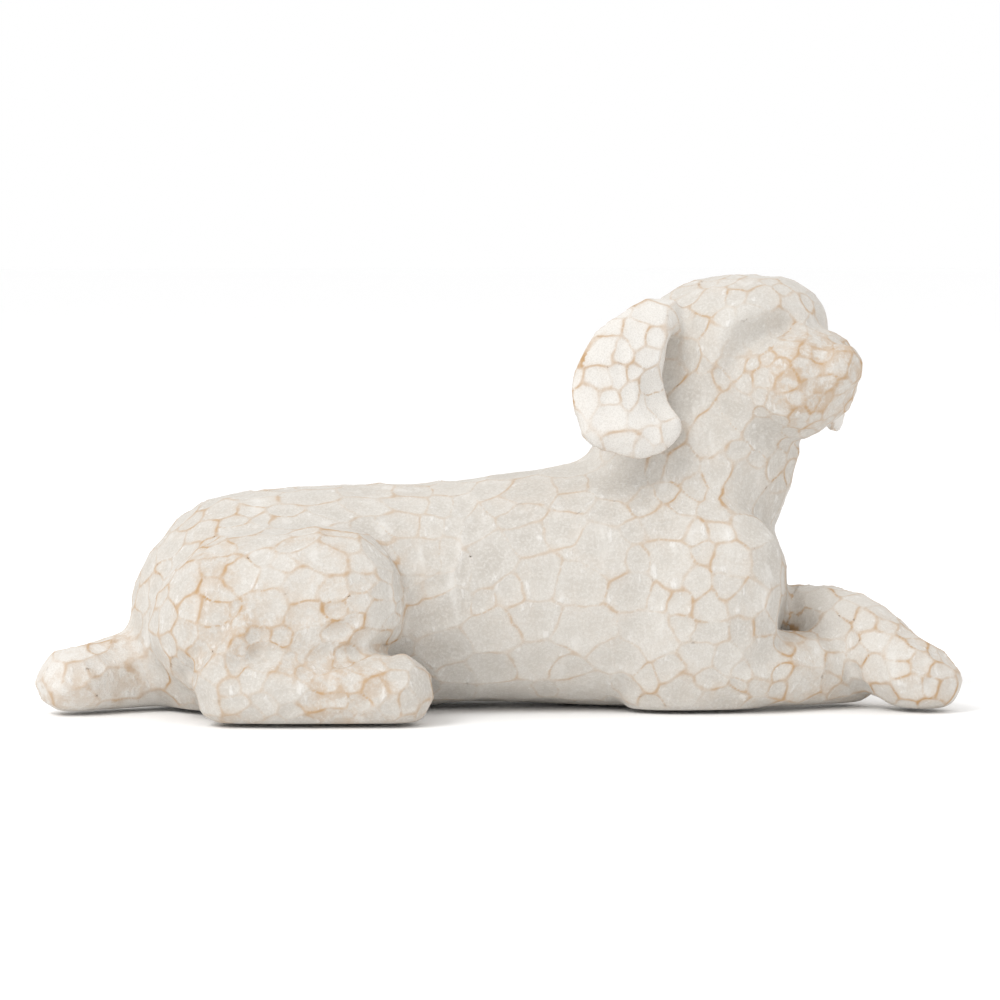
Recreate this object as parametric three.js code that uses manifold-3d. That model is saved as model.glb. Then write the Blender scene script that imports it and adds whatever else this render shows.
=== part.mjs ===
// A lying dog figurine in matt ceramic, its head turned to its right and its forelegs crossed.
// The hollow body is slip-cast. The head, ears, haunches, hind feet, forelegs and tail are cast apart,
// set on the body with tapered keys and luted on with slip before firing. Felt discs sit under it.
// Millimetres. +X runs from tail to nose, +Y to the dog's left, +Z up; the exported group stands on z = 0.
import * as THREE from "three";
import { mergeVertices } from "three/addons/utils/BufferGeometryUtils.js";
import Module from "manifold-3d";

const wasm = await Module();
wasm.setup();

// ---- driving dimensions --------------------------------------------------------------------------
const bodyLength = 94; // rump to front of chest
const bodyHalfWidth = 18; // at the ribs
const backHeight = 31.3; // ground to the top of the back, at the loin
const rumpHalfHeight = 19; // the rump is rounder than the ribs, and the ground cuts it flat
const withersRise = 3.4; // how much higher the back is at the shoulders
const shellWall = 4.5; // thickness of the slip-cast body
const seamGap = 0.3; // slip-filled seam between two castings

const neckRise = 14.7; // the flat seat that carries the head, above the back
const neckLean = 8; // how far the neck's top is ahead of its middle
const neckHalfWidth = 11; // at the seat
const neckHalfLength = 12.8;
const spigotRadius = 6.2; // ring on the seat that enters the head
const spigotHeight = 4;
const ventRadius = 3.5; // firing vent under the belly

const skullLength = 27;
const skullHalfWidth = 12.6;
const skullHalfHeight = 11;
const headRise = 3.8; // skull centre above the seat
const headYaw = THREE.MathUtils.degToRad(-45); // turned to the dog's right
const headPitch = THREE.MathUtils.degToRad(-4); // nose lifted
const headRoll = THREE.MathUtils.degToRad(7); // right ear lower
const muzzleReach = 18.6; // skull centre to the front of the muzzle
const muzzleHalfWidth = 7.6;
const muzzleHalfHeight = 7.4;
const muzzleDrop = 5; // its axis below the skull's centre

const earDrop = 22; // root to tip
const earHalfWidth = 8.2;
const earHalfThickness = 2.1;
const earStandOff = 9; // tip beyond the side of the skull
const earFlare = THREE.MathUtils.degToRad(34); // how far its flap turns out from the skull

const haunchLength = 34;
const haunchHalfHeight = 13;
const haunchStandOut = 8.2; // how far the thigh bulges beyond the ribs
const hindFootLength = 32.5;
const hindFootHalfHeight = 5.5;
const hindFootHalfWidth = 5.5;
const heelSetback = 9.2; // heel, ahead of the rump

const legHalfHeight = 5.3; // foreleg
const legHalfWidth = 5.2;
const legReach = 22.2; // crossing paw beyond the chest

const tailReach = 13.9; // tip behind the rump
const tailSweep = 10.4; // tip to the right of the spine
const tailHalfHeight = 4.9;

const keyRadius = 1.8; // tapered key that locates a casting on its host
const keyTaper = 0.85; // tip radius over root radius
const keyLength = 3.2; // how deep it enters its host
const keyRoot = 3; // how far it starts inside its own casting
const earKeyRadius = 1.3;
const earKeyRoot = 1.6;

const padRadius = 4; // felt disc
const padThickness = 1;
const padRecess = 0.5; // how deep it sits in the underside
const padSpread = 7; // centre, from the middle line

// ---- materials -----------------------------------------------------------------------------------
const ceramic = new THREE.MeshStandardMaterial({ color: 0xebe5dc, roughness: 0.8, metalness: 0 });
const felt = new THREE.MeshStandardMaterial({ color: 0x8d8378, roughness: 1, metalness: 0 });

// ---- helpers -------------------------------------------------------------------------------------
const toLeft = [0, 1, 0];
const toRight = [0, -1, 0];
const forward = [1, 0, 0];
const leftward = new THREE.Vector3(...toLeft);

// A closed three.js geometry as a manifold-3d solid.
function solidOf(geometry) {
  const bare = geometry.clone();
  bare.deleteAttribute("normal");
  bare.deleteAttribute("uv");
  const merged = mergeVertices(bare, 1e-4);
  const vertProperties = new Float32Array(merged.attributes.position.array);
  const triVerts = new Uint32Array(merged.index.array);
  return new wasm.Manifold(new wasm.Mesh({ numProp: 3, vertProperties, triVerts }));
}

// A manifold-3d solid as a named mesh.
function meshOf(name, solid, material) {
  const { vertProperties, triVerts } = solid.getMesh();
  const geometry = new THREE.BufferGeometry();
  geometry.setAttribute("position", new THREE.BufferAttribute(vertProperties, 3));
  geometry.setIndex(new THREE.BufferAttribute(triVerts, 1));
  geometry.computeVertexNormals();
  const mesh = new THREE.Mesh(geometry, material);
  mesh.name = name;
  return mesh;
}

function cut(solid, tools) {
  return tools.reduce((rest, tool) => rest.subtract(tool), solid);
}

// How much of its full girth a form with rounded ends has, at a distance along it.
function fullnessAt(distance, length, [startCap, endCap]) {
  const quarterRound = (depth, cap) => Math.sqrt(Math.max(0, 1 - (1 - depth / cap) ** 2));
  if (distance < startCap) return quarterRound(distance, startCap);
  if (distance > length - endCap) return quarterRound(length - distance, endCap);
  return 1;
}

// A clay form: a sphere stretched along a curved spine. Each station is { at: [x, y, z], wide, high },
// the half-sizes across the spine and up. grow thickens it all round, and a negative grow thins it.
function clay(stations, { caps, across = leftward, around = 18, along = 14, grow = 0 }) {
  const spine = new THREE.CatmullRomCurve3(stations.map((s) => new THREE.Vector3(...s.at)));
  const girth = new THREE.CatmullRomCurve3(stations.map((s) => new THREE.Vector3(s.wide, s.high, 0)));
  const length = spine.getLength();
  const ball = new THREE.SphereGeometry(1, around, along);
  const place = ball.attributes.position;
  for (let i = 0; i < place.count; i++) {
    const share = (1 - place.getY(i)) / 2;
    const ring = Math.hypot(place.getX(i), place.getZ(i)) || 1;
    const t = spine.getUtoTmapping(share);
    const tangent = spine.getTangent(t);
    const side = across.clone().addScaledVector(tangent, -across.dot(tangent)).normalize();
    const up = new THREE.Vector3().crossVectors(tangent, side);
    const size = girth.getPoint(t);
    const fullness = fullnessAt(share * length, length, caps);
    const point = spine.getPoint(t);
    point.addScaledVector(side, (fullness * (size.x + grow) * place.getX(i)) / ring);
    point.addScaledVector(up, (fullness * (size.y + grow) * place.getZ(i)) / ring);
    point.addScaledVector(tangent, grow * (2 * share - 1) * (1 - fullness));
    place.setXYZ(i, point.x, point.y, point.z);
  }
  return ball;
}

// The same form on the other side. Mirroring turns the faces round, so their order is swapped.
function mirrored(geometry) {
  const twin = geometry.clone().applyMatrix4(new THREE.Matrix4().makeScale(1, -1, 1));
  const order = twin.index.array;
  for (let i = 0; i < order.length; i += 3) [order[i + 1], order[i + 2]] = [order[i + 2], order[i + 1]];
  return twin;
}

// A tapered round key. It starts root behind the joint, inside its own casting, and points towards
// its host, keyLength deep. With a clearance it is the hole for it.
function key(at, towards, { radius = keyRadius, root = keyRoot, clearance = 0 } = {}) {
  const tip = radius * keyTaper + clearance;
  const length = root + keyLength + clearance;
  const peg = new THREE.CylinderGeometry(tip, radius + clearance, length, 12);
  peg.translate(0, length / 2 - root, 0);
  const turn = new THREE.Quaternion().setFromUnitVectors(
    new THREE.Vector3(0, 1, 0),
    new THREE.Vector3(...towards).normalize(),
  );
  return solidOf(peg.applyQuaternion(turn).translate(...at));
}

const slab = 400; // larger than the figurine
function below(height) {
  return solidOf(new THREE.BoxGeometry(slab, slab, slab).translate(0, 0, height - slab / 2));
}
function above(height) {
  return solidOf(new THREE.BoxGeometry(slab, slab, slab).translate(0, 0, height + slab / 2));
}
function column(radius, bottom, top, x, y) {
  const rod = new THREE.CylinderGeometry(radius, radius, top - bottom, 24);
  return solidOf(rod.rotateX(Math.PI / 2).translate(x, y, (bottom + top) / 2));
}

const ground = below(0);

// ---- body: barrel, shoulders and neck, cast in one -------------------------------------------------
const half = backHeight / 2;
const shoulderHalf = half + withersRise / 2;
const rumpZ = backHeight - rumpHalfHeight; // middle of the rump's girth
const barrelStations = [
  { at: [0, 0, rumpZ - 1.3], wide: bodyHalfWidth - 1, high: rumpHalfHeight },
  { at: [0.13 * bodyLength, 0, rumpZ - 0.4], wide: bodyHalfWidth + 0.5, high: rumpHalfHeight },
  { at: [0.3 * bodyLength, 0, half - 1.2], wide: bodyHalfWidth, high: half + 1 },
  { at: [0.47 * bodyLength, 0, half], wide: bodyHalfWidth - 0.7, high: half },
  { at: [0.6 * bodyLength, 0, half + 0.6], wide: bodyHalfWidth, high: half + 0.8 },
  { at: [0.74 * bodyLength, 0, shoulderHalf - 1], wide: bodyHalfWidth + 1.6, high: shoulderHalf + 0.4 },
  { at: [0.87 * bodyLength, 0, half], wide: bodyHalfWidth + 0.2, high: half + 1.4 },
  { at: [bodyLength, 0, half - 0.6], wide: bodyHalfWidth - 3, high: half - 1 },
];
const barrelCaps = [21, 13];
const neckTopHeight = backHeight + neckRise;
const neckX = 0.84 * bodyLength; // middle of the neck, halfway up
const neckTopX = neckX + neckLean;
const neckStations = [
  { at: [neckX - 6, 0, 0.25 * backHeight], wide: neckHalfWidth + 4, high: neckHalfLength + 1.2 },
  { at: [neckX - 4, 0, 0.58 * backHeight], wide: neckHalfWidth + 4, high: neckHalfLength + 4.2 },
  { at: [neckX - 1, 0, 0.9 * backHeight], wide: neckHalfWidth + 2, high: neckHalfLength + 4 },
  { at: [neckX + neckLean / 2, 0, neckTopHeight - 5], wide: neckHalfWidth + 0.4, high: neckHalfLength + 1.2 },
  { at: [neckTopX + 1, 0, neckTopHeight + 5], wide: neckHalfWidth, high: neckHalfLength },
];
const neckCaps = [6, 2];

const outsideMesh = { barrel: { around: 24, along: 22 }, neck: { around: 24, along: 14 } };
const insideMesh = { barrel: { around: 16, along: 14 }, neck: { around: 16, along: 10 } };
function barrel(grow, mesh = outsideMesh) {
  return solidOf(clay(barrelStations, { caps: barrelCaps, ...mesh.barrel, grow }));
}
function neck(grow, mesh = outsideMesh) {
  return solidOf(clay(neckStations, { caps: neckCaps, ...mesh.neck, grow }));
}
function bodyOutside(grow) {
  return barrel(grow).add(neck(grow).subtract(above(neckTopHeight + grow)));
}
const bodyGrown = bodyOutside(seamGap);

const spigotX = neckTopX - 2;
function spigot(clearance) {
  const top = neckTopHeight + spigotHeight + clearance;
  return column(spigotRadius + clearance, neckTopHeight - shellWall, top, spigotX, 0);
}
const cavity = barrel(-shellWall, insideMesh)
  .add(neck(-shellWall, insideMesh).subtract(above(neckTopHeight - shellWall)))
  .subtract(below(shellWall));
const throatHole = column(spigotRadius - 2.2, neckTopHeight - 2 * shellWall, slab / 4, spigotX, 0);
const vent = column(ventRadius, -1, 2 * shellWall, 0.5 * bodyLength, 0);

// ---- hind legs ---------------------------------------------------------------------------------------
const haunchY = bodyHalfWidth - 2.5;
const haunchWide = haunchStandOut + bodyHalfWidth - haunchY;
const haunchX = 3.6;
const haunchEnd = { wide: haunchWide - 1.2, high: haunchHalfHeight - 3 };
const haunchMiddle = { wide: haunchWide, high: haunchHalfHeight };
const haunchStations = [
  { at: [haunchX, -haunchY + 3, haunchHalfHeight - 1], ...haunchEnd },
  { at: [haunchX + 0.28 * haunchLength, -haunchY + 0.6, haunchHalfHeight + 1], ...haunchMiddle },
  { at: [haunchX + 0.66 * haunchLength, -haunchY, haunchHalfHeight + 1.6], ...haunchMiddle },
  { at: [haunchX + haunchLength, -haunchY + 1, haunchHalfHeight - 0.5], ...haunchEnd },
];
const footY = bodyHalfWidth + haunchStandOut - 1.2;
const footZ = hindFootHalfHeight - 1.2; // the ground cuts its underside flat
const toeX = heelSetback + hindFootLength;
const footGirth = { wide: hindFootHalfWidth, high: hindFootHalfHeight };
const footStations = [
  { at: [heelSetback, -footY + 2.6, footZ + 0.3], ...footGirth },
  { at: [heelSetback + 0.3 * hindFootLength, -footY + 0.8, footZ], ...footGirth },
  { at: [heelSetback + 0.7 * hindFootLength, -footY, footZ - 0.2], ...footGirth },
  { at: [toeX, -footY - 0.2, footZ - 0.3], ...footGirth },
];
// The hock: a ridge that climbs from the heel on to the thigh.
const hockStations = [
  { at: [heelSetback + 1, -footY + 3.2, 2.5], wide: 3.8, high: 4 },
  { at: [heelSetback + 3.5, -footY + 1.6, 9], wide: 3.6, high: 3.6 },
  { at: [heelSetback + 9, -footY + 1.8, 16.5], wide: 3, high: 3 },
];
const haunch = (grow) => clay(haunchStations, { caps: [14, 13], around: 22, along: 16, grow });
const foot = clay(footStations, { caps: [5, 5] });
const hock = clay(hockStations, { caps: [3.5, 5], around: 12, along: 8 });
const haunchKeyAt = [haunchX + 0.48 * haunchLength, -bodyHalfWidth - 0.5, haunchHalfHeight + 2];
const leftHaunchKeyAt = [haunchKeyAt[0], -haunchKeyAt[1], haunchKeyAt[2]];

// ---- tail --------------------------------------------------------------------------------------------
const tailZ = tailHalfHeight - 0.5;
const tailStations = [
  { at: [7, 0, tailZ + 2.6], wide: tailHalfHeight + 0.6, high: tailHalfHeight + 2 },
  { at: [0, -0.22 * tailSweep, tailZ + 0.8], wide: tailHalfHeight + 0.4, high: tailHalfHeight + 1 },
  { at: [-tailReach / 2, -0.6 * tailSweep, tailZ], wide: tailHalfHeight + 0.2, high: tailHalfHeight },
  { at: [-tailReach, -tailSweep, tailZ], wide: tailHalfHeight, high: tailHalfHeight - 0.2 },
];
const tail = clay(tailStations, { caps: [3, 5] });
const tailKeyAt = [1, -0.3, tailZ + 2.4];

// ---- forelegs: the left one lies over the right one's wrist ------------------------------------------
const elbowX = 0.745 * bodyLength;
const elbowY = bodyHalfWidth - 3;
const crossX = bodyLength + 0.44 * legReach; // where they cross
const pawX = bodyLength + legReach;
const elbowGirth = { wide: legHalfWidth + 0.9, high: legHalfHeight + 1 };
const legGirth = { wide: legHalfWidth, high: legHalfHeight };
const pawGirth = { wide: legHalfWidth + 0.5, high: legHalfHeight - 0.1 };
const rightLegStations = [
  { at: [elbowX - 2, -elbowY, legHalfHeight + 0.3], ...elbowGirth },
  { at: [elbowX + 13, -elbowY + 0.8, legHalfHeight], ...legGirth },
  { at: [bodyLength + 2, -0.63 * elbowY, legHalfHeight - 0.3], ...legGirth },
  { at: [crossX + 3, -0.24 * elbowY, legHalfHeight - 0.8], ...legGirth },
];
const leftLegStations = [
  { at: [elbowX, elbowY, legHalfHeight + 0.7], ...elbowGirth },
  { at: [elbowX + 15, elbowY - 2.8, 1.6 * legHalfHeight], ...legGirth },
  { at: [bodyLength + 2, 0.37 * elbowY, 2 * legHalfHeight - 0.2], ...legGirth },
  { at: [crossX, -0.2 * elbowY, 2 * legHalfHeight - 0.9], ...legGirth },
  { at: [pawX - 7, -0.74 * elbowY, legHalfHeight - 0.2], ...pawGirth },
  { at: [pawX, -elbowY, legHalfHeight - 2.1], ...pawGirth },
];
const rightLeg = (grow) => clay(rightLegStations, { caps: [7, 5], along: 16, grow });
const leftLeg = clay(leftLegStations, { caps: [7, 5.4], along: 20 });
const rightLegKeyAt = [bodyLength - 8, -elbowY + 2, legHalfHeight + 0.9];
const leftLegKeyAt = [bodyLength - 7, elbowY - 2.6, 1.6 * legHalfHeight];
const intoChest = [-1, 0, 0.1];

// ---- felt discs --------------------------------------------------------------------------------------
const rearPadX = 0.17 * bodyLength;
const frontPadX = 0.8 * bodyLength;
const padPlaces = {
  felt_pad_rear_right: [rearPadX, -padSpread],
  felt_pad_rear_left: [rearPadX, padSpread],
  felt_pad_front_right: [frontPadX, -padSpread],
  felt_pad_front_left: [frontPadX, padSpread],
};
const padSeats = Object.values(padPlaces).map(([x, y]) =>
  column(padRadius + seamGap, -1, padRecess + seamGap, x, y),
);

// ---- head, in a frame of its own at the skull's centre, +X to the nose --------------------------------
const head = new THREE.Group();
head.position.set(neckTopX + 0.4, -1, neckTopHeight + headRise);
head.rotation.set(headRoll, headPitch, headYaw, "ZYX");
head.updateMatrix();
const toHead = head.matrix.clone().invert();
const inHead = (solid) => solid.transform(toHead.elements);

const skullStations = [
  { at: [-0.53 * skullLength, 0, -1], wide: skullHalfWidth - 1.4, high: skullHalfHeight - 1 },
  { at: [-0.18 * skullLength, 0, 0.2], wide: skullHalfWidth, high: skullHalfHeight },
  { at: [0.18 * skullLength, 0, 0.2], wide: skullHalfWidth - 0.3, high: skullHalfHeight - 0.2 },
  { at: [0.47 * skullLength, 0, -0.6], wide: skullHalfWidth - 2.6, high: skullHalfHeight - 1.6 },
];
const muzzleStations = [
  { at: [2, 0, -muzzleDrop - 0.4], wide: muzzleHalfWidth + 1.2, high: muzzleHalfHeight + 0.3 },
  { at: [0.55 * muzzleReach, 0, -muzzleDrop], wide: muzzleHalfWidth, high: muzzleHalfHeight },
  { at: [muzzleReach, 0, -muzzleDrop + 0.4], wide: muzzleHalfWidth - 0.4, high: muzzleHalfHeight - 0.8 },
];
const noseStations = [
  { at: [muzzleReach - 4, 0, -muzzleDrop + 2.8], wide: 3.6, high: 3 },
  { at: [muzzleReach + 1, 0, -muzzleDrop + 2.2], wide: 3.4, high: 2.8 },
];
function headOutside(grow) {
  const skull = clay(skullStations, { caps: [9, 8], around: 22, along: 16, grow });
  const muzzle = clay(muzzleStations, { caps: [4, 6.5], around: 20, along: 12, grow });
  const nose = clay(noseStations, { caps: [2, 2.6], around: 12, along: 8, grow });
  return solidOf(skull).add(solidOf(muzzle)).add(solidOf(nose));
}
// The head is hollowed from its seat, through the spigot's hole.
const headHollow = solidOf(new THREE.SphereGeometry(spigotRadius - 0.8, 14, 10).translate(-1, 0, -1));

const earSide = -skullHalfWidth;
const earTop = skullHalfHeight - 2.2;
const earRearward = new THREE.Vector3(-Math.cos(earFlare), -Math.sin(earFlare), 0);
function earStation(x, out, down, width) {
  const at = [x, earSide + 1 - out * (earStandOff + 1), earTop - down * earDrop];
  return { at, wide: width * earHalfWidth, high: earHalfThickness };
}
const earStations = [
  earStation(-3.4, -0.32, -0.02, 0.5),
  earStation(-4.6, 0.12, 0.06, 0.68),
  earStation(-5.4, 0.44, 0.19, 0.86),
  earStation(-6.2, 0.75, 0.43, 1),
  earStation(-5, 0.95, 0.72, 1),
  earStation(-3, 1, 1, 0.8),
];
const ear = clay(earStations, { caps: [3, 6], across: earRearward, along: 16 });
const earKeyAt = [-4.6, earSide + 2.2, earTop - 2.4];
const leftEarKeyAt = [earKeyAt[0], -earKeyAt[1], earKeyAt[2]];

// ---- castings ----------------------------------------------------------------------------------------
const loose = { clearance: seamGap };
const looseInEar = { radius: earKeyRadius, clearance: seamGap };

const body = cut(bodyOutside(0).add(spigot(0)), [
  cavity,
  throatHole,
  vent,
  ground,
  ...padSeats,
  key(haunchKeyAt, toLeft, loose),
  key(leftHaunchKeyAt, toRight, loose),
  key(tailKeyAt, forward, loose),
  key(rightLegKeyAt, intoChest, loose),
  key(leftLegKeyAt, intoChest, loose),
]);

const haunchGrown = solidOf(haunch(seamGap));
const haunchRight = cut(solidOf(haunch(0)), [bodyGrown, ground]).add(key(haunchKeyAt, toLeft));
const haunchLeft = haunchRight.mirror(toLeft);

const footRight = cut(solidOf(foot).add(solidOf(hock)), [bodyGrown, haunchGrown, ground]);
const footLeft = footRight.mirror(toLeft);

const tailCasting = cut(solidOf(tail), [bodyGrown, haunchGrown, haunchGrown.mirror(toLeft), ground]).add(
  key(tailKeyAt, forward),
);

const forelegRight = cut(solidOf(rightLeg(0)), [bodyGrown, ground]).add(key(rightLegKeyAt, intoChest));
const forelegLeft = cut(solidOf(leftLeg), [bodyGrown, solidOf(rightLeg(seamGap)), ground]).add(
  key(leftLegKeyAt, intoChest),
);

const bodyGrownInHead = inHead(bodyGrown);
const headShell = cut(headOutside(0), [
  bodyGrownInHead,
  inHead(spigot(seamGap)),
  headHollow,
  key(earKeyAt, toLeft, looseInEar),
  key(leftEarKeyAt, toRight, looseInEar),
]);

function earCasting(flap, keyAt, towards) {
  return cut(solidOf(flap), [headOutside(seamGap), bodyGrownInHead]).add(
    key(keyAt, towards, { radius: earKeyRadius, root: earKeyRoot }),
  );
}

// ---- assembly ----------------------------------------------------------------------------------------
head.add(meshOf("head", headShell, ceramic));
head.add(meshOf("ear_right", earCasting(ear, earKeyAt, toLeft), ceramic));
head.add(meshOf("ear_left", earCasting(mirrored(ear), leftEarKeyAt, toRight), ceramic));

const figurine = new THREE.Group();
figurine.add(meshOf("body", body, ceramic));
figurine.add(head);
figurine.add(meshOf("haunch_right", haunchRight, ceramic));
figurine.add(meshOf("haunch_left", haunchLeft, ceramic));
figurine.add(meshOf("hind_foot_right", footRight, ceramic));
figurine.add(meshOf("hind_foot_left", footLeft, ceramic));
figurine.add(meshOf("foreleg_right", forelegRight, ceramic));
figurine.add(meshOf("foreleg_left", forelegLeft, ceramic));
figurine.add(meshOf("tail", tailCasting, ceramic));

for (const [name, [x, y]] of Object.entries(padPlaces)) {
  const disc = new THREE.Mesh(new THREE.CylinderGeometry(padRadius, padRadius, padThickness, 24), felt);
  disc.name = name;
  disc.rotation.x = Math.PI / 2;
  disc.position.set(x, y, padRecess - padThickness / 2);
  figurine.add(disc);
}

// The origin is the middle of the underside: the centre of the bounding box, on the ground.
const part = new THREE.Group();
part.add(figurine);
part.updateMatrixWorld(true);
const extent = new THREE.Box3().setFromObject(part);
const middle = extent.getCenter(new THREE.Vector3());
figurine.position.set(-middle.x, -middle.y, -extent.min.z);

export default part;
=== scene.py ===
import math
import random
import time
import bpy
import bmesh
import numpy as np
from mathutils import Euler, Matrix, Vector, noise
from mathutils.bvhtree import BVHTree
from mathutils.kdtree import KDTree


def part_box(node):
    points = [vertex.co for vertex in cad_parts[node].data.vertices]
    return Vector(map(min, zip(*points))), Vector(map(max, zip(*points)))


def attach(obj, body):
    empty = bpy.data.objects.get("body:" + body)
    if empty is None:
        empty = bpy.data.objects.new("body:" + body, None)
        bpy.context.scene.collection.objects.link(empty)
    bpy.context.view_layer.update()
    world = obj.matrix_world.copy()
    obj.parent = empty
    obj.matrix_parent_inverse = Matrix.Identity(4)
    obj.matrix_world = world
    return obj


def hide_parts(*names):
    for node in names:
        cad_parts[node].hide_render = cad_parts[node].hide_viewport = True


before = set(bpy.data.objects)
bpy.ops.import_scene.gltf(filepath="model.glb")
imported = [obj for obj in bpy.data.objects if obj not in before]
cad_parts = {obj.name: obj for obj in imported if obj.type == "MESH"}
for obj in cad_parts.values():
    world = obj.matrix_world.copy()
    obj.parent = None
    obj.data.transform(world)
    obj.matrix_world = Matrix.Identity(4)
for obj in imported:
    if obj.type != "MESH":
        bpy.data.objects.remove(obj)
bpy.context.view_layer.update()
mm = 0.001
startTime = time.time()


def say(stage):
    print("%5.1f s  %s" % (time.time() - startTime, stage))


# lengths below are in mm from the end of the rump, the middle plane and the flat underside of the body
bodyLow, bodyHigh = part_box("body")
origin = np.array([bodyLow[0], 0.0, bodyLow[2]]) / mm


# ---- clay lumps: balls drawn out along a curved spine ----
def smoothSpine(stations, count=240):
    # an even curve through the stations, with the widths and heights carried along it
    rows = [np.array(s, float) for s in stations]
    rows = [rows[0] * 2 - rows[1]] + rows + [rows[-1] * 2 - rows[-2]]
    samples = []
    for a, b, c, d in zip(rows, rows[1:], rows[2:], rows[3:]):
        for t in np.linspace(0, 1, 40, endpoint=False):
            samples.append(0.5 * (2 * b + (c - a) * t + (2 * a - 5 * b + 4 * c - d) * t * t + (3 * b - a - 3 * c + d) * t ** 3))
    samples.append(rows[-2])
    samples = np.array(samples)
    run = np.concatenate([[0], np.cumsum(np.linalg.norm(np.diff(samples[:, :3], axis=0), axis=1))])
    even = np.linspace(0, run[-1], count)
    return run[-1], np.stack([np.interp(even, run, samples[:, c]) for c in range(5)], axis=1)


def readPoints(obj):
    co = np.empty(len(obj.data.vertices) * 3)
    obj.data.vertices.foreach_get("co", co)
    return co.reshape(-1, 3) / mm - origin


def writePoints(obj, co):
    obj.data.vertices.foreach_set("co", ((co + origin) * mm).ravel())
    obj.data.update()


def drawOut(shape, across=(0, 1, 0), turn=None, centre=(0, 0, 0), cut=None):
    # stations are x, y, z, half width, half height; caps are the lengths of the two round ends
    bpy.ops.object.select_all(action="DESELECT")
    bpy.ops.mesh.primitive_uv_sphere_add(segments=48, ring_count=56, radius=1)
    lump = bpy.context.object
    ball = (readPoints(lump) + origin) * mm
    length, spine = smoothSpine(shape["stations"])
    caps = shape["caps"]
    square = shape.get("square", 2)
    share = np.clip((1 - ball[:, 2]) / 2, 0, 1)
    ring = np.maximum(np.hypot(ball[:, 0], ball[:, 1]), 1e-9)
    c, s = ball[:, 0] / ring, ball[:, 1] / ring
    bulge = np.maximum(np.abs(c) ** square + np.abs(s) ** square, 0.4) ** (-1 / square)
    where = share * (len(spine) - 1)
    at = np.arange(len(spine))
    slope = np.gradient(spine[:, :3], axis=0)
    point = np.stack([np.interp(where, at, spine[:, k]) for k in range(3)], axis=1)
    tangent = np.stack([np.interp(where, at, slope[:, k]) for k in range(3)], axis=1)
    tangent /= np.linalg.norm(tangent, axis=1)[:, None]
    across = np.array(across, float)
    side = across - (tangent @ across)[:, None] * tangent
    side /= np.linalg.norm(side, axis=1)[:, None]
    up = np.cross(tangent, side)
    run = share * length
    full = np.ones(len(ball))
    for distance, cap in ((run, caps[0]), (length - run, caps[1])):
        near = distance < cap
        full[near] = np.sqrt(np.clip(1 - (1 - distance[near] / cap) ** 2, 0, 1))
    wide = np.interp(where, at, spine[:, 3]) * full * bulge * c
    high = np.interp(where, at, spine[:, 4]) * full * bulge * s
    place = point + side * wide[:, None] + up * high[:, None]
    if cut:
        place = cut(place)
    if turn is not None:
        place = place @ np.array(turn).T
    writePoints(lump, place + np.array(centre))
    return lump


def ramp(x, low, high):
    t = np.clip((x - low) / (high - low), 0, 1)
    return t * t * (3 - 2 * t)


bodyShapes = {
    "barrel": {"caps": (19, 13), "square": 2.15, "stations": [
        (0, 0, 11, 16.6, 17.9), (12, 0, 11.9, 18.2, 17.8), (28, 0, 14.4, 17.4, 16.6), (44, 0, 15.6, 17.2, 15.7),
        (57, 0, 16.4, 17.6, 16.5), (70, 0, 16.6, 18.4, 17.9), (82, 0, 15.9, 17.8, 17), (94, 0, 15.1, 15, 14.8)]},
    "neck": {"caps": (6, 6), "stations": [
        (73, 0, 8, 15, 14), (75, 0, 18, 14.8, 17), (78, 0, 28, 13, 14.7), (82.5, 0, 38, 11.8, 13.5), (82.2, 1, 45, 11.4, 12.2),
        (80.6, 3, 53, 9.4, 9)]},
}
shoulderShape = {"caps": (2, 9), "square": 2.5, "stations": [
    (79.2, -8.6, -0.6, 10.2, 5.2), (79.4, -11, 4.4, 11, 6.2), (79.6, -12.8, 11, 11.2, 6.8), (80.6, -13, 20, 10.8, 6.2),
    (82, -10.6, 30, 8.6, 5)]}
haunchShape = {"caps": (15, 13), "stations": [
    (2.6, -11.6, 11, 9.2, 9.6), (13, -14.8, 12.6, 11, 12.4), (26, -15.4, 13.6, 10.8, 12.2), (37, -14.6, 12.6, 9.8, 10.2)]}
thighShape = {"caps": (10, 9.5), "square": 2.2, "stations": [
    (11, -17.4, 13, 8.6, 9.4), (20, -18, 13.8, 9.8, 11.2), (29, -17.4, 15.1, 9.8, 11.4), (38, -16.4, 14.2, 9.4, 9.2)]}
footShape = {"caps": (5, 5), "stations": [
    (9.2, -22.4, 4.6, 5.4, 5.5), (19, -24.2, 4.3, 5.5, 5.5), (32, -25, 4.2, 5.5, 5.5), (41.3, -25.2, 3.8, 5.4, 5.2)]}
hockShape = {"caps": (3.5, 4), "stations": [
    (9.8, -22.8, 4, 4.4, 4.2), (12.9, -24.7, 9, 3.4, 3.4), (15.8, -24.8, 13.6, 2.8, 2.9), (17.8, -24, 17, 2, 2.4)]}
tailShape = {"caps": (3, 4.6), "stations": [
    (7, 0, 7, 5.5, 6.9), (0, -2.4, 5, 5.3, 5.8), (-6.5, -6.3, 4.2, 5.1, 4.9), (-12.5, -10, 4, 4.9, 4.7)]}
rightLegShape = {"caps": (6, 5), "stations": [
    (75, -12.2, 5.5, 4.6, 5), (85, -12.8, 5.7, 5.2, 5.4), (95, -9, 5.3, 5.2, 5.3), (106.4, -2.4, 4.6, 5.2, 5.2)]}
leftLegShape = {"caps": (7, 7.5), "stations": [
    (72, 13.6, 5.6, 5, 5.6), (85, 12.2, 8.2, 5.3, 5.3), (95, 3.6, 10.8, 5.4, 5.3), (102.6, -4.4, 10.2, 5.9, 5.3),
    (109, -11.4, 5.2, 6.3, 5.2), (116.2, -15.8, 2.2, 6.1, 4.8)]}

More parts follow.
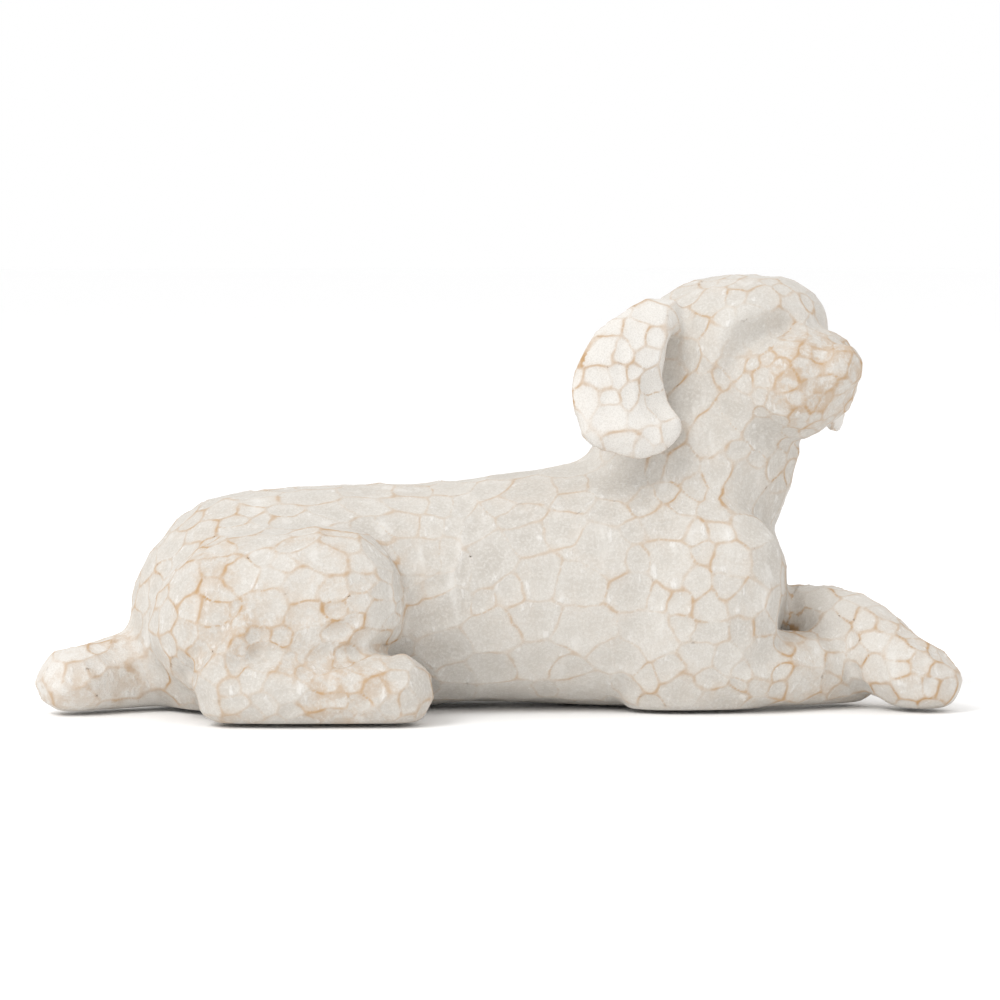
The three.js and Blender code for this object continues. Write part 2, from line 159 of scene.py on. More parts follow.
# the head: forward, left and up from its own middle
headPlace = {"centre": (87.4, -1.0, 49.8), "roll": 7, "pitch": -4, "yaw": -45}
headTurn = Euler([math.radians(headPlace[k]) for k in ("roll", "pitch", "yaw")], "XYZ").to_matrix()
headShapes = {
    "skull": {"caps": (9, 7), "square": 2.25, "stations": [
        (-14, 0, -0.6, 11.3, 10.2), (-5, 0, 0.2, 12.3, 10.9), (4, 0, 0, 12.2, 10.6), (12.6, 0, -0.6, 10.6, 9.4)]},
    "muzzle": {"caps": (4, 5), "square": 2.3, "stations": [
        (1, 0, -4.4, 10.6, 7.4), (8, 0, -4, 9.8, 7.4), (13, 0, -4.6, 8.6, 6.9), (17.2, 0, -5.2, 7.4, 5.8)]},
    "jaw": {"caps": (4, 5), "stations": [(1, 0, -7.6, 8.2, 4.8), (8, 0, -8, 7.2, 4.7), (14, 0, -8.2, 6, 4)]},
    "nose": {"caps": (2, 2.6), "square": 2.3, "stations": [(14.6, 0, -2.6, 4, 3.4), (19.6, 0, -3.4, 3.7, 3.4)]},
}
eyePlane = {"spot": (5.4, 9.2, 1), "facing": (0.9, 0.42, -0.14), "high": 7, "less": {-1: 0.6, 1: 3.0}}


def cutEyePlanes(place):
    # a flat cut on each side of the forehead stands for the closed eye
    facing = np.array(eyePlane["facing"]) / np.linalg.norm(eyePlane["facing"])
    for side in (-1, 1):
        mirrored = np.array([1, side, 1])
        height = (place - np.array(eyePlane["spot"]) * mirrored) @ (facing * mirrored) - eyePlane["less"][side]
        window = ramp(place[:, 1] * side, 0.8, 3.2) * (1 - ramp(place[:, 2], eyePlane["high"] - 4, eyePlane["high"] + 1))
        place = place - (facing * mirrored) * (np.clip(height, 0, 9) * window)[:, None]
    return place


# the near ear, and its twin across the middle of the head
earShapes = [
    {"caps": (4, 4.2), "square": 2.3, "stations": [
        (77.4, -5.6, 56, 2.2, 2.4), (74.6, -8.4, 55, 3, 2.4), (72.1, -10.8, 53.2, 4.1, 2.3), (70, -12.6, 50.3, 5.5, 2),
        (68.7, -13.7, 47.2, 6.7, 1.9), (68.4, -14.2, 44.2, 7.0, 1.9), (69.4, -14.7, 41.4, 7.1, 1.9),
        (70.8, -15.2, 38.8, 6.6, 1.9), (71.1, -15.4, 34.9, 6.0, 1.9)]},
]
earAcross = (-0.985, -0.17, 0)


def acrossHead(vector, isPoint=True):
    v = Vector(vector) - (Vector(headPlace["centre"]) if isPoint else Vector())
    v = headTurn.transposed() @ v
    v = headTurn @ Vector((v.x, -v.y, v.z))
    return tuple(v + (Vector(headPlace["centre"]) if isPoint else Vector()))


def mirrored(shape):
    return {**shape, "stations": [(s[0], -s[1], *s[2:]) for s in shape["stations"]]}


def farEar(shape):
    # carried lower and turned back a little, so that it stays behind the crown
    twins = []
    for s in shape["stations"]:
        p = acrossHead(s[:3])
        twins.append((p[0] + 0.4, p[1], p[2] - 2.4, s[3], s[4]))
    return {**shape, "stations": twins}


lumps = {}
lumps["body"] = [drawOut(shape) for shape in bodyShapes.values()]
for side, flip in (("right", lambda shape: shape), ("left", mirrored)):
    lumps["body"].append(drawOut(flip(shoulderShape), across=(1, 0, 0)))
    lumps["haunch_" + side] = [drawOut(flip(haunchShape)), drawOut(flip(thighShape))]
    lumps["hind_foot_" + side] = [drawOut(flip(footShape)), drawOut(flip(hockShape))]
lumps["tail"] = [drawOut(tailShape)]
lumps["foreleg_right"] = [drawOut(rightLegShape)]
lumps["foreleg_left"] = [drawOut(leftLegShape)]
lumps["head"] = [drawOut(shape, turn=headTurn, centre=headPlace["centre"], cut=cutEyePlanes if name == "skull" else None)
                 for name, shape in headShapes.items()]
lumps["ear_right"] = [drawOut(shape, across=earAcross) for shape in earShapes]
lumps["ear_left"] = [drawOut(farEar(shape), across=acrossHead(earAcross, False)) for shape in earShapes]
nodeNames = list(lumps)
say("clay lumps")


# ---- which casting a point belongs to: the one whose clay lies nearest ----
def treeOf(objects):
    verts, faces = [], []
    for o in objects:
        first = len(verts)
        verts.extend(v.co.copy() for v in o.data.vertices)
        faces.extend([first + i for i in p.vertices] for p in o.data.polygons)
    return BVHTree.FromPolygons(verts, faces)


trees = {node: treeOf(parts) for node, parts in lumps.items()}
lumpBoxes = {}
for node, parts in lumps.items():
    allPoints = np.concatenate([readPoints(o) for o in parts])
    lumpBoxes[node] = (allPoints.min(0) - 1.6, allPoints.max(0) + 1.6)


def labelPoints(co):
    label = np.zeros(len(co), dtype=int)
    gap = np.full(len(co), 1e9)
    real = (co + origin) * mm
    for index, node in enumerate(nodeNames):
        low, high = lumpBoxes[node]
        find = trees[node].find_nearest
        for i in np.nonzero(np.all((co > low) & (co < high), axis=1))[0]:
            away = find(real[i])[3]
            if away < gap[i] - 1e-7:
                gap[i] = away
                label[i] = index
    return label


def isNode(label, *names):
    return np.isin(label, [nodeNames.index(n) for n in names]).astype(float)


# ---- one clay body ----
def applied(obj, kind, **settings):
    modifier = obj.modifiers.new(kind.lower(), kind)
    for key, value in settings.items():
        setattr(modifier, key, value)
    bpy.context.view_layer.objects.active = obj
    bpy.ops.object.modifier_apply(modifier=modifier.name)


def edgePairs(obj):
    pairs = np.empty(len(obj.data.edges) * 2, dtype=np.int64)
    obj.data.edges.foreach_get("vertices", pairs)
    return pairs.reshape(-1, 2)


def soften(values, edges, rounds, weight=0.5):
    # each point drifts towards the middle of its neighbours
    count = len(values)
    degree = np.maximum(np.bincount(edges.ravel(), minlength=count), 1)[:, None]
    a, b = edges[:, 0], edges[:, 1]
    for _ in range(rounds):
        total = np.stack([np.bincount(a, weights=values[b, k], minlength=count)
                          + np.bincount(b, weights=values[a, k], minlength=count) for k in range(values.shape[1])], axis=1)
        values = values + (total / degree - values) * (weight if np.isscalar(weight) else weight[:, None])
    return values


clayWork = {"coarse": 0.6, "fine": 0.375, "blendRounds": 34, "softRounds": 10}
bpy.ops.object.select_all(action="DESELECT")
for parts in lumps.values():
    for o in parts:
        o.select_set(True)
bpy.context.view_layer.objects.active = lumps["body"][0]
bpy.ops.object.join()
clay = bpy.context.object
clay.name = "clay"
applied(clay, "REMESH", mode="VOXEL", voxel_size=clayWork["coarse"] * mm, adaptivity=0)
co, edges = readPoints(clay), edgePairs(clay)
x, y, z = co[:, 0], np.abs(co[:, 1]), co[:, 2]
label = labelPoints(co)
notEar = 1 - isNode(label, "ear_right", "ear_left")
notFoot = 1 - isNode(label, "hind_foot_right", "hind_foot_left")
# thumbed-over joins: the top and back of the haunch, the shoulder, the nape, the root of the tail
blend = ramp(z, 20, 24) * (1 - ramp(x, 28, 35)) * ramp(y, 5, 8)
blend = np.maximum(blend, (1 - ramp(x, 5, 9)) * ramp(y, 5, 7) * notFoot)
blend = np.maximum(blend, ramp(x, 74, 79) * (1 - ramp(x, 86, 89)) * ramp(y, 8, 10) * ramp(z, 12, 17) * (1 - ramp(z, 32, 38)))
blend = np.maximum(blend, 0.12 * ramp(x, 60, 64) * (1 - ramp(x, 74, 79)) * ramp(y, 8, 10) * (1 - ramp(z, 32, 38)))
blend = np.maximum(blend, ramp(x, 64, 68) * (1 - ramp(x, 86, 89)) * ramp(y, 6, 8) * ramp(z, 20, 26) * (1 - ramp(z, 34, 40)))
blend = np.maximum(blend, ramp(z, 30, 34) * (1 - ramp(z, 44, 50)) * (1 - ramp(x, 84, 90)) * notEar)
blend = np.maximum(blend, (1 - ramp(np.abs(x - 1), 3, 7)) * (1 - ramp(y, 7, 9)))
co = soften(co, edges, clayWork["blendRounds"], 0.5 * blend)
writePoints(clay, co)
say("joins thumbed over, %d points" % len(co))

# the vent is drilled and the underside is rubbed flat
bpy.ops.mesh.primitive_cylinder_add(vertices=48, radius=3.5 * mm, depth=14 * mm,
                                    location=((47 + origin[0]) * mm, 0, bodyLow[2]))
drill = bpy.context.object
applied(clay, "BOOLEAN", operation="DIFFERENCE", object=drill, solver="EXACT")
bpy.data.objects.remove(drill)
co = readPoints(clay)
co[:, 2] = np.maximum(co[:, 2], 0)
writePoints(clay, co)
applied(clay, "REMESH", mode="VOXEL", voxel_size=clayWork["fine"] * mm, adaptivity=0)
edges = edgePairs(clay)
co = soften(readPoints(clay), edges, clayWork["softRounds"])
label = labelPoints(co)
say("fine clay, %d points" % len(co))


def readNormals(obj):
    n = np.empty(len(obj.data.vertices) * 3)
    obj.data.vertex_normals.foreach_get("vector", n)
    return n.reshape(-1, 3)


# ---- hollows pressed with a round tool: centre, reach along x y z, way, depth ----
presses = [
    {"node": "ear_right", "centre": (74.4, -16, 44.6), "reach": (4.2, 6, 5.0), "way": (-0.25, 1, 0), "depth": 1.5},
]
for press in presses:
    away = (co - np.array(press["centre"])) / np.array(press["reach"])
    fall = np.clip(1 - np.sum(away ** 2, axis=1), 0, 1)
    fall = fall * fall * (3 - 2 * fall) * isNode(label, press["node"])
    way = np.array(press["way"]) / np.linalg.norm(press["way"])
    co = co + way * (fall * press["depth"])[:, None]
# grooves ruled along the sides with a pointed tool: x, z points, depth, half width
grooves = [
    {"line": [(7.7, 6.4), (9, 8.7), (10.7, 10.4), (12.9, 13.9)], "depth": 0.9, "width": 0.9},
    {"line": [(23.5, 8.2), (28.4, 8.65), (33.2, 9.9), (35.6, 10.35)], "depth": 0.7, "width": 1.1},
]
writePoints(clay, co)
normals = readNormals(clay)
onHind = isNode(label, "haunch_right", "haunch_left", "hind_foot_right", "hind_foot_left") * ramp(np.abs(co[:, 1]), 15, 17)
for groove in grooves:
    line = np.array(groove["line"], float)
    flat = co[:, [0, 2]]
    away = np.full(len(co), 1e9)
    for a, b in zip(line[:-1], line[1:]):
        t = np.clip(((flat - a) @ (b - a)) / ((b - a) @ (b - a)), 0, 1)
        away = np.minimum(away, np.linalg.norm(flat - a - t[:, None] * (b - a), axis=1))
    sunk = groove["depth"] * np.exp(-(away / groove["width"]) ** 2) * onHind
    co = co - normals * sunk[:, None]
co = soften(co, edges, 2)
writePoints(clay, co)
normals = readNormals(clay)
smoothNormals = soften(normals, edges, 10)
smoothNormals /= np.linalg.norm(smoothNormals, axis=1)[:, None]
inHead = (co - np.array(headPlace["centre"])) @ np.array(headTurn)
onHead = isNode(label, "head")
say("modelled")

# ---- knife facets ----
facets = {
    "relief": 0.13,  # how far the ridges stand over the middle of a facet
    "flatten": 0.34,
    "sizes": {"body": 4.6, "head": 3.6, "ear_right": 3.7, "ear_left": 3.7, "haunch_right": 4.1, "haunch_left": 4.1,
              "hind_foot_right": 3.6, "hind_foot_left": 3.6, "foreleg_right": 3.9, "foreleg_left": 3.6, "tail": 4.2},
    "flank": 1.35,  # how much larger they are along the flank
    "spread": (0.55, 1.3),
    "slide": 0.18,
    "wander": 1.0,
    "seed": 11,
}
forward, upward = inHead[:, 0], inHead[:, 2]
muzzleMask = onHead * ramp(forward, 5, 9) * (1 - ramp(upward, 1.6, 3.4))
eyeMask = np.zeros(len(co))
for side in (-1, 1):
    spot = np.array([7.6, 7.4 * side, 2.2])
    eyeMask += 1 - ramp(np.linalg.norm((inHead - spot) / np.array([1, 1, 0.9]), axis=1), 4.4, 6.6)
eyeMask = eyeMask * onHead * (1 - muzzleMask)

# facets are drawn out down the slope of the haunch and along the feet
stretch = ramp(co[:, 2], 10, 22) * (1 - ramp(co[:, 0], 40, 52)) * isNode(label, "body", "haunch_right", "haunch_left")
way = np.array([0.84, 0, -0.54])
warped = co - way * ((co @ way) * 0.36 * stretch)[:, None]
wander = np.array([noise.noise_vector(Vector(p) * 0.23) + noise.noise_vector(Vector(p) * 0.75) * 0.32 for p in co])
warped = warped + wander * facets["wander"]

size = np.array([facets["sizes"][node] for node in nodeNames])[label]
size = size * (1 - 0.15 * muzzleMask)
flank = isNode(label, "body") * ramp(co[:, 0], 24, 34) * (1 - ramp(co[:, 0], 66, 76))
size = size * (1 + (facets["flank"] - 1) * flank)
rng = random.Random(facets["seed"])
order = list(range(len(co)))
rng.shuffle(order)
cellWidth = 9.0
cells, seeds, seedSize = {}, [], []
homes = np.floor(warped / cellWidth).astype(int)
for i in order:
    if co[i, 2] < 0.35:
        continue
    p = warped[i]
    mine = size[i] * rng.uniform(*facets["spread"])
    hx, hy, hz = homes[i]
    free = True
    for cell in [(hx + a, hy + b, hz + c) for a in (-1, 0, 1) for b in (-1, 0, 1) for c in (-1, 0, 1)]:
        for j, qx, qy, qz, other in cells.get(cell, ()):
            if ((qx - p[0]) ** 2 + (qy - p[1]) ** 2 + (qz - p[2]) ** 2 < (0.5 * (mine + other)) ** 2
                    and smoothNormals[j] @ smoothNormals[i] > 0.1):
                free = False
                break
        if not free:
            break
    if free:
        cells.setdefault((hx, hy, hz), []).append((i, p[0], p[1], p[2], mine))
        seeds.append(i)
        seedSize.append(mine)
seeds, seedSize = np.array(seeds), np.array(seedSize)
say("%d facets" % len(seeds))

seedRandom = np.random.RandomState(facets["seed"])
seedTone = seedRandom.uniform(-1, 1, len(seeds))
seedDepth = seedRandom.uniform(-1, 1, len(seeds)) * 0.05
tree = KDTree(len(seeds))
for k, i in enumerate(seeds):
    tree.insert(Vector(warped[i]), k)
tree.balance()
nearCount = 9
nearest = np.array([[hit[1] for hit in tree.find_n(p, nearCount)] for p in warped])
say("neighbours found")

d = warped[:, None, :] - warped[seeds][nearest]
seedNormals = smoothNormals[seeds][nearest]
facing = np.einsum("ij,ikj->ik", smoothNormals, seedNormals)
radius2 = (0.5 * seedSize[nearest]) ** 2
drop = np.einsum("ikj,ikj->ik", co[seeds][nearest] - co[:, None, :], seedNormals) / np.clip(facing, 0.4, 1)
dist2 = np.einsum("ikj,ikj->ik", d, d)
height = facets["relief"] * (dist2 / radius2) + facets["flatten"] * np.clip(drop, -0.2, 1.1) + seedDepth[nearest]
height = np.where(facing < 0.15, 40 + dist2, height)
rank = np.argsort(height, axis=1)[:, :3]
row = np.arange(len(co))


def slopeOf(column):
    k = rank[:, column]
    g = 2 * facets["relief"] * d[row, k] / radius2[row, k][:, None]
    g = g - facets["flatten"] * seedNormals[row, k] / np.clip(facing[row, k], 0.4, 1)[:, None]
    return g - np.einsum("ij,ij->i", g, smoothNormals)[:, None] * smoothNormals


slopes = [slopeOf(k) for k in range(3)]
heights = [height[row, rank[:, k]] for k in range(3)]
tilt = slopes[1] - slopes[0]
steep = np.maximum(np.linalg.norm(tilt, axis=1), 0.06)
edgeGap = np.clip((heights[1] - heights[0]) / steep, 0, 4)
steepThird = np.maximum(np.linalg.norm(slopes[2] - slopes[0], axis=1), 0.03)
thirdGap = np.clip((heights[2] - heights[0]) / steepThird, 0, 4)
# the nearest points slide on to the ridges, which keeps them crisp
slide = np.where(edgeGap < facets["slide"], edgeGap, 0)
co = co - (tilt / steep[:, None]) * slide[:, None]
edgeGap = np.where(edgeGap < facets["slide"], 0, edgeGap)
roundGap = 1 / (1 / np.maximum(edgeGap, 0.02) + 0.75 / np.maximum(thirdGap, 0.02))

amount = (1 - 0.9 * np.clip(eyeMask, 0, 1)) * ramp(co[:, 2], 0.2, 1.4)
calm = 0.4 * onHead + 0.15 * isNode(label, "ear_right", "ear_left")  # the face was carved more gently
relief = (np.clip(heights[0], -0.3, 0.9) - 0.1) * (1 - calm)
co = co + smoothNormals * (relief * amount)[:, None]
writePoints(clay, co)
normals = readNormals(clay)
say("facets carved")


# ---- where the paint is rubbed through to the tan; the paler parts are partly painted highlight ----
def setAttribute(obj, name, values, kind="FLOAT"):
    attribute = obj.data.attributes.new(name, kind, "POINT")
    attribute.data.foreach_set("value" if kind == "FLOAT" else "vector", np.asarray(values, dtype=np.float32).ravel())


wearAndHighlight = {
    "lines": {"body": 0.9, "head": 0.9, "ear_right": 1.05, "ear_left": 1.05, "haunch_right": 1.0, "haunch_left": 1.0,
              "hind_foot_right": 1.0, "hind_foot_left": 1.0, "foreleg_right": 1.05, "foreleg_left": 1.25, "tail": 0.8},
    "rub": {"body": 0.2, "head": 0.2, "ear_right": 0.1, "ear_left": 0.1, "haunch_right": 0.55, "haunch_left": 0.55,
            "hind_foot_right": 0.85, "hind_foot_left": 0.85, "foreleg_right": 0.5, "foreleg_left": 0.35, "tail": 0.7},
    # the pale table lightens the ears, tail and crossing foreleg most: partly a paler paint, partly painted highlight
    # on parts that face the lamp
    "paleAndHighlight": {"body": 0, "head": 0.12, "ear_right": 1, "ear_left": 1, "haunch_right": 0.05, "haunch_left": 0.05,
             "hind_foot_right": 0, "hind_foot_left": 0, "foreleg_right": 0, "foreleg_left": 0.35, "tail": 0.9},
}
first, second = nearest[row, rank[:, 0]].astype(np.int64), nearest[row, rank[:, 1]].astype(np.int64)
pairRandom = ((np.minimum(first, second) * 73856093) ^ (np.maximum(first, second) * 19349663)) % 1000 / 1000
byNode = lambda table: np.array([table[node] for node in nodeNames])[label]
lines = byNode(wearAndHighlight["lines"]) * (1 - 0.35 * flank)
lineAmount = soften((lines * amount)[:, None], edges, 8)[:, 0] * (0.25 + 0.75 * pairRandom)
rub = byNode(wearAndHighlight["rub"])
mottle = muzzleMask * ramp(forward, 9, 14)
rub = soften((rub + 0.9 * mottle)[:, None], edges, 14)[:, 0]
setAttribute(clay, "edgeGap", roundGap)
setAttribute(clay, "lineAmount", np.clip(lineAmount, 0, 1.5))
setAttribute(clay, "rub", np.clip(rub, 0, 1))
setAttribute(clay, "tone", seedTone[first])
# the pale attribute carries that lightening: partly paler paint, partly painted highlight
setAttribute(clay, "paleAndHighlight", soften(byNode(wearAndHighlight["paleAndHighlight"])[:, None], edges, 14)[:, 0])
setAttribute(clay, "outward", normals, "FLOAT_VECTOR")
say("wear marked")


# ---- paint ----
class NodeDesk:
    # short names for wiring a material
    def __init__(self, name):
        self.material = bpy.data.materials.new(name)
        self.material.use_nodes = True
        self.nodes, self.links = self.material.node_tree.nodes, self.material.node_tree.links
        self.shader = self.nodes["Principled BSDF"]
        self.place = self.nodes.new("ShaderNodeTexCoord").outputs["Object"]

    def plug(self, socket, value):
        if isinstance(value, bpy.types.NodeSocket):
            self.links.new(value, socket)
        elif isinstance(value, tuple):
            socket.default_value = (*value, 1)
        else:
            socket.default_value = value

    def attribute(self, name):
        n = self.nodes.new("ShaderNodeAttribute")
        n.attribute_name = name
        return n.outputs["Fac"]

    def maths(self, operation, a, b=0.5, clamp=False):
        n = self.nodes.new("ShaderNodeMath")
        n.operation, n.use_clamp = operation, clamp
        self.plug(n.inputs[0], a)
        self.plug(n.inputs[1], b)
        return n.outputs[0]

    def times(self, *values):
        total = values[0]
        for value in values[1:]:
            total = self.maths("MULTIPLY", total, value)
        return total

    def remap(self, value, fromLow, fromHigh, toLow, toHigh):
        n = self.nodes.new("ShaderNodeMapRange")
        n.interpolation_type = "SMOOTHSTEP"
        for key, number in zip(("Value", "From Min", "From Max", "To Min", "To Max"), (value, fromLow, fromHigh, toLow, toHigh)):
            self.plug(n.inputs[key], number)
        return n.outputs["Result"]

    def noise(self, scale, detail=2.0, rough=0.5, stretched=None):
        n = self.nodes.new("ShaderNodeTexNoise")
        n.inputs["Scale"].default_value = scale
        n.inputs["Detail"].default_value = detail
        n.inputs["Roughness"].default_value = rough
        source = self.place
        if stretched:
            mapping = self.nodes.new("ShaderNodeMapping")
            mapping.inputs["Scale"].default_value = stretched[:3]
            mapping.inputs["Rotation"].default_value = stretched[3:]
            self.links.new(source, mapping.inputs["Vector"])
            source = mapping.outputs["Vector"]
        self.links.new(source, n.inputs["Vector"])
        return n.outputs["Fac"]

    def mix(self, factor, a, b):
        n = self.nodes.new("ShaderNodeMix")
        n.data_type = "RGBA"
        for socket, value in zip((n.inputs[0], n.inputs[6], n.inputs[7]), (factor, a, b)):
            self.plug(socket, value)
        return n.outputs[2]

    def bump(self, height, distance, strength=1.0):
        n = self.nodes.new("ShaderNodeBump")
        n.inputs["Strength"].default_value = strength
        n.inputs["Distance"].default_value = distance
        self.links.new(height, n.inputs["Height"])
        self.links.new(n.outputs["Normal"], self.shader.inputs["Normal"])


paintLook = {
    "shade": (0.492, 0.459, 0.413),
    "light": (0.592, 0.560, 0.512),
    # the pale colour: partly a paler paint, partly painted highlight
    "paleAndHighlight": (0.715, 0.686, 0.644),
    "grain": (0.72, 0.70, 0.665),
    "lineTan": (0.45, 0.275, 0.13),
    "haloTan": (0.50, 0.365, 0.235),
    "rubTan": (0.47, 0.325, 0.20),
    "flecks": (0.78, 0.765, 0.74),
}


def paintMaterial():
    desk = NodeDesk("paintedCeramic")
    desk.shader.inputs["Roughness"].default_value = 0.8
    desk.shader.inputs["Specular IOR Level"].default_value = 0.3
    gap, line, rubbed = desk.attribute("edgeGap"), desk.attribute("lineAmount"), desk.attribute("rub")
    grain = desk.noise(2400, 3, 0.6)
    patch = desk.noise(110, 3)
    cloudy = desk.maths("ADD", desk.remap(desk.noise(60, 3), 0.32, 0.68, 0, 0.7), desk.times(desk.attribute("tone"), 0.22))
    colour = desk.mix(desk.maths("ADD", cloudy, 0.1, True), paintLook["shade"], paintLook["light"])
    # parts that face the lamp are made lighter: partly paler paint, partly painted highlight
    colour = desk.mix(desk.attribute("paleAndHighlight"), colour, paintLook["paleAndHighlight"])
    # the middle of a facet is a little greyer than its brushed edge
    colour = desk.mix(desk.times(desk.remap(gap, 0.5, 1.6, 1, 0), 0.22), colour, paintLook["grain"])
    colour = desk.mix(desk.remap(grain, 0.42, 0.66, 0, 0.4), colour, paintLook["grain"])
    colour = desk.mix(desk.remap(desk.noise(5200, 2), 0.45, 0.62, 0, 0.3), colour, paintLook["shade"])
    brushed = desk.noise(300, 3, 0.6, (1, 1, 0.25, 0.5, 0, 0.3))
    colour = desk.mix(desk.remap(brushed, 0.56, 0.72, 0, 0.5), colour, paintLook["grain"])
    # rubbed tan, mottled
    speckle = desk.remap(desk.noise(520, 4, 0.7), 0.40, 0.62, 0.1, 1)
    cloud = desk.remap(patch, 0.38, 0.6, 0.12, 1)
    rubWide = desk.times(rubbed, speckle, cloud, desk.remap(gap, 0.3, 1.5, 1, 0.45))
    colour = desk.mix(desk.maths("MULTIPLY", rubWide, 0.62, True), colour, paintLook["rubTan"])
    # tan along the ridges, stronger in some places than in others
    breakUp = desk.times(desk.remap(desk.noise(260, 3), 0.32, 0.6, 0.35, 1), desk.remap(patch, 0.3, 0.62, 0.45, 1.15), line)
    halo = desk.times(desk.remap(gap, 0.0, 0.7, 1, 0), breakUp, breakUp)
    core = desk.times(desk.remap(gap, 0.02, 0.28, 1, 0), breakUp)
    colour = desk.mix(desk.maths("MULTIPLY", halo, 0.34, True), colour, paintLook["haloTan"])
    colour = desk.mix(desk.maths("MULTIPLY", core, 0.85, True), colour, paintLook["lineTan"])
    # thick white left by the brush beside the ridges
    streak = desk.remap(desk.noise(850, 3, 0.6, (1, 1, 0.4, 0.7, 0.3, 0.6)), 0.58, 0.70, 0, 1)
    fleck = desk.times(streak, desk.remap(gap, 0.1, 0.3, 0, 1), desk.remap(gap, 0.5, 1.1, 1, 0.15))
    colour = desk.mix(desk.maths("MULTIPLY", fleck, 0.5, True), colour, paintLook["flecks"])
    desk.links.new(colour, desk.shader.inputs["Base Color"])
    sand = desk.maths("ADD", grain, desk.times(desk.noise(900, 3), 1.1))
    sand = desk.maths("ADD", sand, desk.times(brushed, 1.2))
    sand = desk.maths("ADD", sand, desk.times(fleck, 0.8))
    desk.bump(sand, 0.00015, 0.5)
    return desk.material


def feltMaterial():
    desk = NodeDesk("greyFelt")
    desk.shader.inputs["Roughness"].default_value = 1.0
    desk.shader.inputs["Sheen Weight"].default_value = 0.4
    fibre = desk.noise(1800, 4, 0.6)
    desk.links.new(desk.mix(fibre, (0.20, 0.18, 0.155), (0.36, 0.33, 0.29)), desk.shader.inputs["Base Color"])
    desk.bump(fibre, 0.0002)
    return desk.material


paint, felt = paintMaterial(), feltMaterial()
clay.data.materials.clear()
clay.data.materials.append(paint)
bpy.ops.object.select_all(action="DESELECT")
clay.select_set(True)
bpy.context.view_layer.objects.active = clay
bpy.ops.object.shade_smooth()

# ---- the clay is cut into castings at the luted seams ----
corners = np.empty(len(clay.data.loops), dtype=int)
clay.data.loops.foreach_get("vertex_index", corners)
starts = np.empty(len(clay.data.polygons), dtype=int)
clay.data.polygons.foreach_get("loop_start", starts)
faceLabel = label[corners[starts]]


def cutOut(node, index):
    mesh = clay.data.copy()
    bm = bmesh.new()
    bm.from_mesh(mesh)
    bm.faces.ensure_lookup_table()
    outward = bm.verts.layers.float_vector["outward"]
    bmesh.ops.delete(bm, geom=[bm.faces[i] for i in np.nonzero(faceLabel != index)[0]], context="FACES")
    # where a seam touches itself at one point, the two sides are parted
    for v in [v for v in bm.verts if sum(e.is_boundary for e in v.link_edges) > 2]:
        bmesh.utils.vert_separate(v, [])
    # the rim of each seam turns in behind the surface and is closed
    rim = [e for e in bm.edges if e.is_boundary]
    if rim:
        turned = bmesh.ops.extrude_edge_only(bm, edges=rim)["geom"]
        for v in turned:
            if isinstance(v, bmesh.types.BMVert):
                v.co -= v[outward] * (0.7 * mm)
        inner = [e for e in turned if isinstance(e, bmesh.types.BMEdge) and e.is_boundary]
        bmesh.ops.holes_fill(bm, edges=inner, sides=0)
        bmesh.ops.triangulate(bm, faces=[f for f in bm.faces if len(f.verts) > 4])
    bm.to_mesh(mesh)
    bm.free()
    directions = np.empty(len(mesh.vertices) * 3, dtype=np.float32)
    mesh.attributes["outward"].data.foreach_get("vector", directions)
    mesh.normals_split_custom_set_from_vertices(directions.reshape(-1, 3))
    piece = bpy.data.objects.new(node + "_carved", mesh)
    bpy.context.collection.objects.link(piece)
    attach(piece, "root")
    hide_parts(node)
    return piece


for index, node in enumerate(nodeNames):
    cutOut(node, index)
bpy.data.objects.remove(clay)
say("cut into castings")

# ---- felt discs ----
for name in ("felt_pad_rear_right", "felt_pad_rear_left", "felt_pad_front_right", "felt_pad_front_left"):
    low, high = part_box(name)
    middle = (np.array(low) + np.array(high)) / 2
    bpy.ops.object.select_all(action="DESELECT")
    bpy.ops.mesh.primitive_cylinder_add(vertices=64, radius=(high[0] - low[0]) / 2, depth=high[2] - low[2])
    disc = bpy.context.object
    disc.name = name + "_felt"
    disc.data.transform(Matrix.Translation(Vector(middle)))
    applied(disc, "BEVEL", width=0.15 * mm, segments=3, limit_method="ANGLE")
    disc.data.materials.append(felt)
    bpy.ops.object.shade_smooth_by_angle(angle=math.radians(40))
    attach(disc, "root")
    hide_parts(name)
say("felt discs")

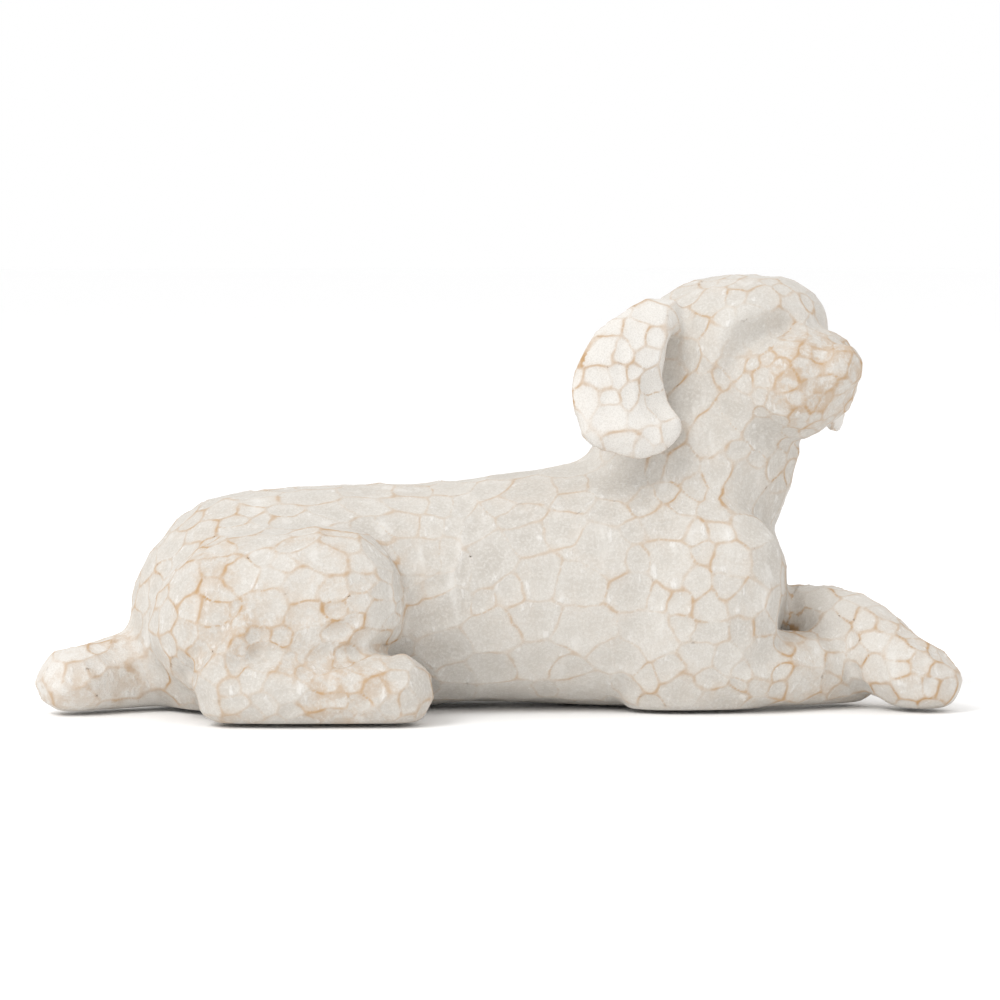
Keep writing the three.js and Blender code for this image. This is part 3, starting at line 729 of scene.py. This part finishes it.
# ---- floor, light and camera ----
studio = {
    "world": 1.0,
    "floor": (0.995, 0.995, 0.995),
    "lamps": {
        "key": {"place": (-0.6, -0.55, 0.85), "size": 0.5, "power": 5.4},
        "top": {"place": (-0.1, 0.35, 1.1), "size": 0.9, "power": 0.2},
    },
}
bpy.ops.object.select_all(action="DESELECT")
bpy.ops.mesh.primitive_plane_add(size=12, location=(0, 0, 0))
floor = bpy.context.object
floor.name = "floor"
floorPaint = bpy.data.materials.new("paleFloor")
floorPaint.use_nodes = True
floorPaint.node_tree.nodes["Principled BSDF"].inputs["Base Color"].default_value = (*studio["floor"], 1)
floorPaint.node_tree.nodes["Principled BSDF"].inputs["Roughness"].default_value = 0.9
floor.data.materials.append(floorPaint)
world = bpy.data.worlds.new("room")
bpy.context.scene.world = world
world.use_nodes = True
world.node_tree.nodes["Background"].inputs["Color"].default_value = (1, 1, 1, 1)
world.node_tree.nodes["Background"].inputs["Strength"].default_value = studio["world"]
for name, lamp in studio["lamps"].items():
    data = bpy.data.lights.new(name, "AREA")
    data.size = lamp["size"]
    data.energy = lamp["power"]
    obj = bpy.data.objects.new(name, data)
    obj.location = lamp["place"]
    obj.rotation_euler = (Vector((0, 0, 0.03)) - Vector(lamp["place"])).to_track_quat("-Z", "Y").to_euler()
    bpy.context.collection.objects.link(obj)
bpy.context.scene.view_settings.view_transform = "Standard"

view = {"turn": -5.0, "rise": 3.5, "distance": 0.65, "lens": 163.8, "aim": (52.8, 0, 28.9)}
camera = bpy.data.objects.new("camera", bpy.data.cameras.new("camera"))
bpy.context.collection.objects.link(camera)
turn, rise = math.radians(view["turn"]), math.radians(view["rise"])
back = Vector((math.sin(turn) * math.cos(rise), -math.cos(turn) * math.cos(rise), math.sin(rise)))
camera.location = Vector((np.array(view["aim"]) + origin) * mm) + back * view["distance"]
camera.rotation_euler = back.to_track_quat("Z", "Y").to_euler()
camera.data.lens = view["lens"]
camera.data.sensor_width = 36
camera.data.clip_end = 20
bpy.context.scene.camera = camera

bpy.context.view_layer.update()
say("done")
